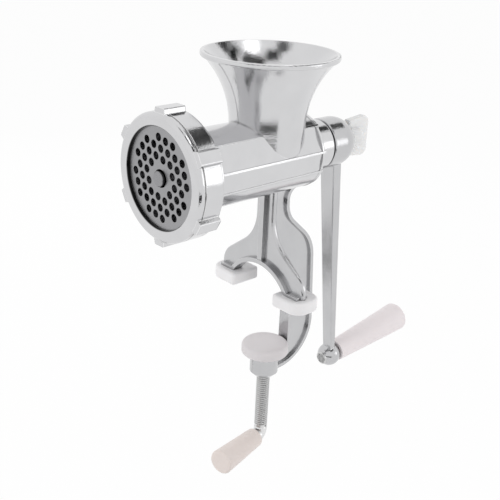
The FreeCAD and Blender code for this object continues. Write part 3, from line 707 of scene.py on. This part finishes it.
def thread(shape, root, crest, pitch, start, turns, segments):
    """One tooth spun round the Z axis as it climbs, closed at both ends."""
    half_root = tooth_foot_share * pitch
    half_crest = tooth_top_share * pitch
    tooth = ((root, -half_root), (crest, -half_crest), (crest, half_crest), (root, half_root))
    corners = [shape.verts.new((radius, 0, start + height)) for radius, height in tooth]
    edges = [shape.edges.new((corners[index - 1], corners[index])) for index in range(len(tooth))]
    steps = round(segments * turns)
    bmesh.ops.spin(
        shape, geom=corners + edges, cent=(0, 0, 0), axis=(0, 0, 1),
        dvec=(0, 0, pitch * turns / steps), angle=2 * math.pi * turns, steps=steps,
    )
    bmesh.ops.holes_fill(shape, edges=open_rim(shape), sides=len(tooth))


def lay_on_barrel(shape):
    """Turn a shape from the Z axis to the barrel's axis, with its top to the rear."""
    quarter_turn = Matrix.Rotation(-math.pi / 2, 3, "X")
    bmesh.ops.rotate(shape, cent=(0, 0, 0), matrix=quarter_turn, verts=shape.verts)
    bmesh.ops.translate(shape, vec=(0, 0, barrel_height), verts=shape.verts)


print("thread tools are ready")

# %% Clamp screw
screw_low, screw_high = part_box("clamp_screw")
screw_radius = 4.3 * millimetre
screw_root = 3.75 * millimetre
screw_pitch = 1.5 * millimetre
screw_tip = 3.0 * millimetre
screw_head = 4.8 * millimetre
head_thickness = 1.0 * millimetre
tip_length = 2.4 * millimetre
plain_length = 1.2 * millimetre
screw_bend = 4.6 * millimetre
bend_steps = 12
screw_reach = 33.9 * millimetre
screw_turn = math.radians(11.4)
screw_segments = 32
screw_shoulder = screw_high.z - tip_length
bend_start = screw_low.z + screw_radius + screw_bend
thread_bottom = bend_start + plain_length
thread_turns = math.floor((screw_shoulder - thread_bottom) / screw_pitch) - 1

screw = bmesh.new()
turned(screw, (
    (0, screw_high.z),
    (screw_head, screw_high.z),
    (screw_head, screw_high.z - head_thickness),
    (screw_tip, screw_high.z - head_thickness),
    (screw_tip, screw_shoulder),
    (screw_root, screw_shoulder),
    (screw_root, thread_bottom + screw_pitch / 2),
    (screw_radius, thread_bottom),
    (screw_radius, bend_start),
), screw_segments)
rim = open_rim(screw)
bmesh.ops.spin(
    screw, geom=rim + list({corner for edge in rim for corner in edge.verts}),
    cent=(0, -screw_bend, bend_start), axis=(1, 0, 0), angle=-math.pi / 2, steps=bend_steps,
)
level_part = bmesh.ops.extrude_edge_only(screw, edges=open_rim(screw))
level_end = [item for item in level_part["geom"] if isinstance(item, bmesh.types.BMVert)]
bmesh.ops.translate(screw, vec=(0, screw_bend - screw_reach, 0), verts=level_end)
bmesh.ops.holes_fill(screw, edges=open_rim(screw), sides=screw_segments)
thread(
    screw, root=screw_root - tooth_sink, crest=screw_radius, pitch=screw_pitch,
    start=thread_bottom + screw_pitch, turns=thread_turns, segments=screw_segments,
)
handle_turn = Matrix.Rotation(screw_turn, 3, "Z")
bmesh.ops.rotate(screw, cent=(0, 0, 0), matrix=handle_turn, verts=screw.verts)
threaded_screw = finish_piece("threaded_clamp_screw", screw, thread_steel, "clamp_handle")
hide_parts("clamp_screw")

# %% Wing stud
stud_low, stud_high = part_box("wing_stud")
stud_radius = 4.0 * millimetre
stud_root = 3.5 * millimetre
stud_pitch = 1.25 * millimetre
stud_thread = 21.0 * millimetre
stud_turns = math.floor(stud_thread / stud_pitch) - 1

stud = bmesh.new()
turned(stud, (
    (0, stud_low.y),
    (stud_root, stud_low.y),
    (stud_root, stud_low.y + stud_thread),
    (stud_radius, stud_low.y + stud_thread + stud_pitch / 2),
    (stud_radius, stud_high.y),
    (0, stud_high.y),
), screw_segments)
thread(
    stud, root=stud_root - tooth_sink, crest=stud_radius, pitch=stud_pitch,
    start=stud_low.y + stud_pitch, turns=stud_turns, segments=screw_segments,
)
lay_on_barrel(stud)
threaded_stud = finish_piece("threaded_wing_stud", stud, thread_steel, "wing")
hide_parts("wing_stud")

# %% Neck thread
neck_root = 32.3 * millimetre
neck_crest = 32.95 * millimetre
neck_pitch = 2.0 * millimetre
neck_lead = 1.4 * millimetre
neck_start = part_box("grinder_body")[0].y + neck_lead
neck_turns = 6
neck_segments = 96

neck = bmesh.new()
thread(
    neck, root=neck_root, crest=neck_crest, pitch=neck_pitch,
    start=neck_start, turns=neck_turns, segments=neck_segments,
)
lay_on_barrel(neck)
finish_piece("neck_thread", neck, ring_casting, "frame")

# %% [markdown]
# ## The parting line of the hopper
# A casting that comes out of a mould in two halves keeps a thin raised line where they met.
# On the hopper it runs up the flare, in the plane of symmetry, at the front and at the rear.
# A small ring spun about the centre of the flare's arc follows the metal exactly.

# %% Parting line
hopper_y = -8.3 * millimetre
throat_radius = 22.0 * millimetre
flare_base = 106.5 * millimetre
flare_radius = 55.77 * millimetre
seam_radius = 0.32 * millimetre
seam_start = math.radians(4.2)
seam_end = math.radians(43.4)
seam_steps = 24
seam_sides = 8


def flare_seam(name, side):
    """A thin bead up the flare; side is -1 at the front of the hopper and 1 at the rear."""
    bead = bmesh.new()
    foot = Vector((0, hopper_y + side * throat_radius, flare_base))
    centre = Vector((0, hopper_y + side * (throat_radius + flare_radius), flare_base))
    bmesh.ops.create_circle(bead, segments=seam_sides, radius=seam_radius, matrix=Matrix.Translation(foot))
    lean = Matrix.Rotation(-side * seam_start, 3, "X")
    bmesh.ops.rotate(bead, cent=centre, matrix=lean, verts=bead.verts)
    bmesh.ops.spin(
        bead, geom=bead.verts[:] + bead.edges[:], cent=centre, axis=(1, 0, 0),
        angle=-side * (seam_end - seam_start), steps=seam_steps,
    )
    bmesh.ops.holes_fill(bead, edges=open_rim(bead), sides=seam_sides)
    finish_piece(name, bead, body_casting, "frame")


flare_seam("hopper_seam_front", -1)
flare_seam("hopper_seam_rear", 1)

# %% [markdown]
# ## The riveted end of the handle pin
# The pin that carries the grip is hammered over at the front of the ball, which leaves a star of dents.
# A low dome is turned with few segments, and every second corner of its middle ring is pressed in.

# %% Rivet star
pin_lean = math.radians(6.2)
pin_axis = Vector((0, math.cos(pin_lean), math.sin(pin_lean)))
ball_centre = Vector((0, 62.59, -66.869)) * millimetre
rivet_face = 7.8 * millimetre
rivet_segments = 12
rivet_outline = ((0, 0.10), (1.5, 0.12), (2.9, 0.55), (4.2, -0.30))
rivet_points = [(radius * millimetre, height * millimetre) for radius, height in rivet_outline]
dented_ring = 2
dent = 0.45 * millimetre

rivet = bmesh.new()
turned(rivet, rivet_points, rivet_segments)
bmesh.ops.holes_fill(rivet, edges=open_rim(rivet), sides=rivet_segments)
ring_radius = rivet_points[dented_ring][0]
on_ring = [corner for corner in rivet.verts if abs(corner.co.xy.length - ring_radius) < dent]
on_ring.sort(key=lambda corner: math.atan2(corner.co.y, corner.co.x))
bmesh.ops.translate(rivet, vec=(0, 0, -dent), verts=on_ring[::2])
facing = (-pin_axis).to_track_quat("Z", "Y").to_matrix()
bmesh.ops.rotate(rivet, cent=(0, 0, 0), matrix=facing, verts=rivet.verts)
bmesh.ops.translate(rivet, vec=ball_centre - pin_axis * rivet_face, verts=rivet.verts)
finish_piece("rivet_star", rivet, rivet_steel, "crank")

# %% [markdown]
# ## The nose of the auger
# The steel stub of the auger runs through the middle of the cutting plate, level with the ring's front.
# It is a turned piece: a chamfered nose, a neck through the knife and a root pressed into the auger.

# %% Auger nose
stub_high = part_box("auger_stub")[1]
plate_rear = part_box("cutting_plate")[1].y
nose_radius = 4.2 * millimetre
nose_chamfer = 0.4 * millimetre
nose_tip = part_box("ring_nut")[0].y
neck_radius = 3.4 * millimetre
root_radius = stub_high.x
root_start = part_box("cutter_knife")[1].y

nose = bmesh.new()
turned(nose, (
    (0, nose_tip),
    (nose_radius - nose_chamfer, nose_tip),
    (nose_radius, nose_tip + nose_chamfer),
    (nose_radius, plate_rear),
    (neck_radius, plate_rear),
    (neck_radius, root_start),
    (root_radius, root_start),
    (root_radius, stub_high.y),
    (0, stub_high.y),
), screw_segments)
lay_on_barrel(nose)
auger_nose = finish_piece("auger_nose", nose, stub_steel, "crank")
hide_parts("auger_stub")
